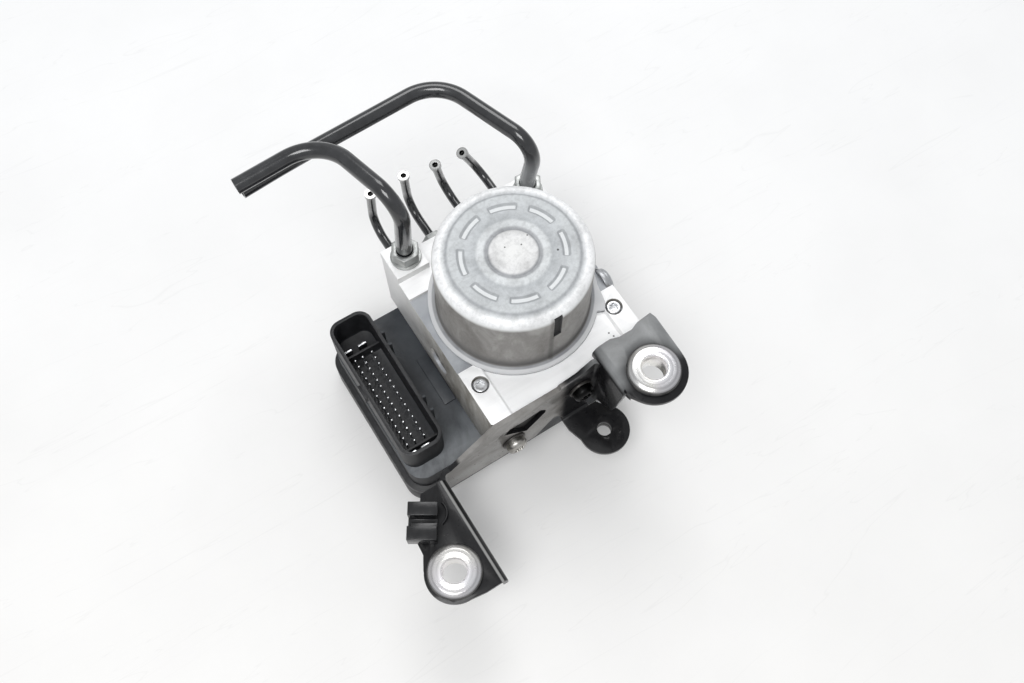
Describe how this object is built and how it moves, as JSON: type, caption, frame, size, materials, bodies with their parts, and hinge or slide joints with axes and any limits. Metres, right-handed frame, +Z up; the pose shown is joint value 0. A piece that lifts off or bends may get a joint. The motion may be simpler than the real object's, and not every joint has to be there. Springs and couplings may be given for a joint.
{
  "type": "abs brake module",
  "caption": "Anti-lock brake unit: aluminium valve block with pump motor on top, plastic control unit with connector below, sheet bracket on rubber mounts and bent brake pipes.",
  "frame": {"origin": "on the pump motor's axis, at the flat underside of the control unit", "axes": "+Z up along the motor's axis, +Y towards the block's pipe side, +X away from the connector"},
  "size_m": [0.1558, 0.2191, 0.1368],
  "materials": {
    "block": "machined, satin",
    "can": "zinc plated, satin",
    "steel": "ground, satin",
    "zinc": "zinc plated, bright",
    "magnet": "sintered, matt",
    "copper": "enamelled wire",
    "brass": "bright",
    "carbon": "pressed carbon, matt",
    "plastic": "moulded, satin",
    "board": "solder mask, satin",
    "rubber": "moulded, matt",
    "bracket": "black, gloss",
    "pipe": "black coated, gloss",
    "bolt": "black, satin"
  },
  "bodies": {
    "unit": {"hydraulic_block": "block", "motor_can": "can", "motor_seal": "rubber", "motor_magnets": "magnet", "drive_bearing": "steel", "shaft_bush": "brass", "brush_plate": "plastic", "brushes": "carbon", "motor_lead": "plastic", "pump_pistons": "steel", "pump_sleeves": "steel", "pump_plugs": "zinc", "accumulator_spring_left": "steel", "accumulator_spring_right": "steel", "accumulator_caps": "steel", "valve_cartridges": "steel", "valve_coils": "plastic", "ecu_housing": "plastic", "ecu_seal": "rubber", "ecu_cover": "plastic", "circuit_board": "board", "board_components": "plastic", "connector_pins": "brass", "ecu_screws": "zinc", "side_plug": "block", "bracket": "bracket", "weld_nut": "zinc", "bracket_washers": "zinc", "bracket_bolts": "bolt", "grommets": "rubber", "mount_sleeves": "zinc", "cable_clip": "plastic", "master_pipe_left": "pipe", "master_pipe_right": "pipe", "master_nuts": "zinc", "wheel_pipe_1": "pipe", "wheel_pipe_2": "pipe", "wheel_pipe_3": "pipe", "wheel_pipe_4": "pipe", "wheel_nuts": "zinc"},
    "rotor": {"pump_shaft": "steel", "armature_core": "steel", "armature_windings": "copper", "commutator": "copper", "eccentric_bearing": "steel"},
    "piston_left": {"accumulator_piston_left": "block"},
    "piston_right": {"accumulator_piston_right": "block"}
  },
  "joints": [
    {"name": "rotor_spin", "type": "hinge", "parent": "unit", "child": "rotor", "pos_m": [0, 0, 0.09], "axis": [0, 0, 1], "continuous": true},
    {"name": "accumulator_slide_left", "type": "slide", "parent": "unit", "child": "piston_left", "axis": [0, 0, -1], "range_m": [0, 0.007], "stiffness_N_per_m": 400, "springref_m": -0.01, "deforming": ["accumulator_spring_left"]},
    {"name": "accumulator_slide_right", "type": "slide", "parent": "unit", "child": "piston_right", "axis": [0, 0, -1], "range_m": [0, 0.007], "stiffness_N_per_m": 400, "springref_m": -0.01, "deforming": ["accumulator_spring_right"]}
  ]
}
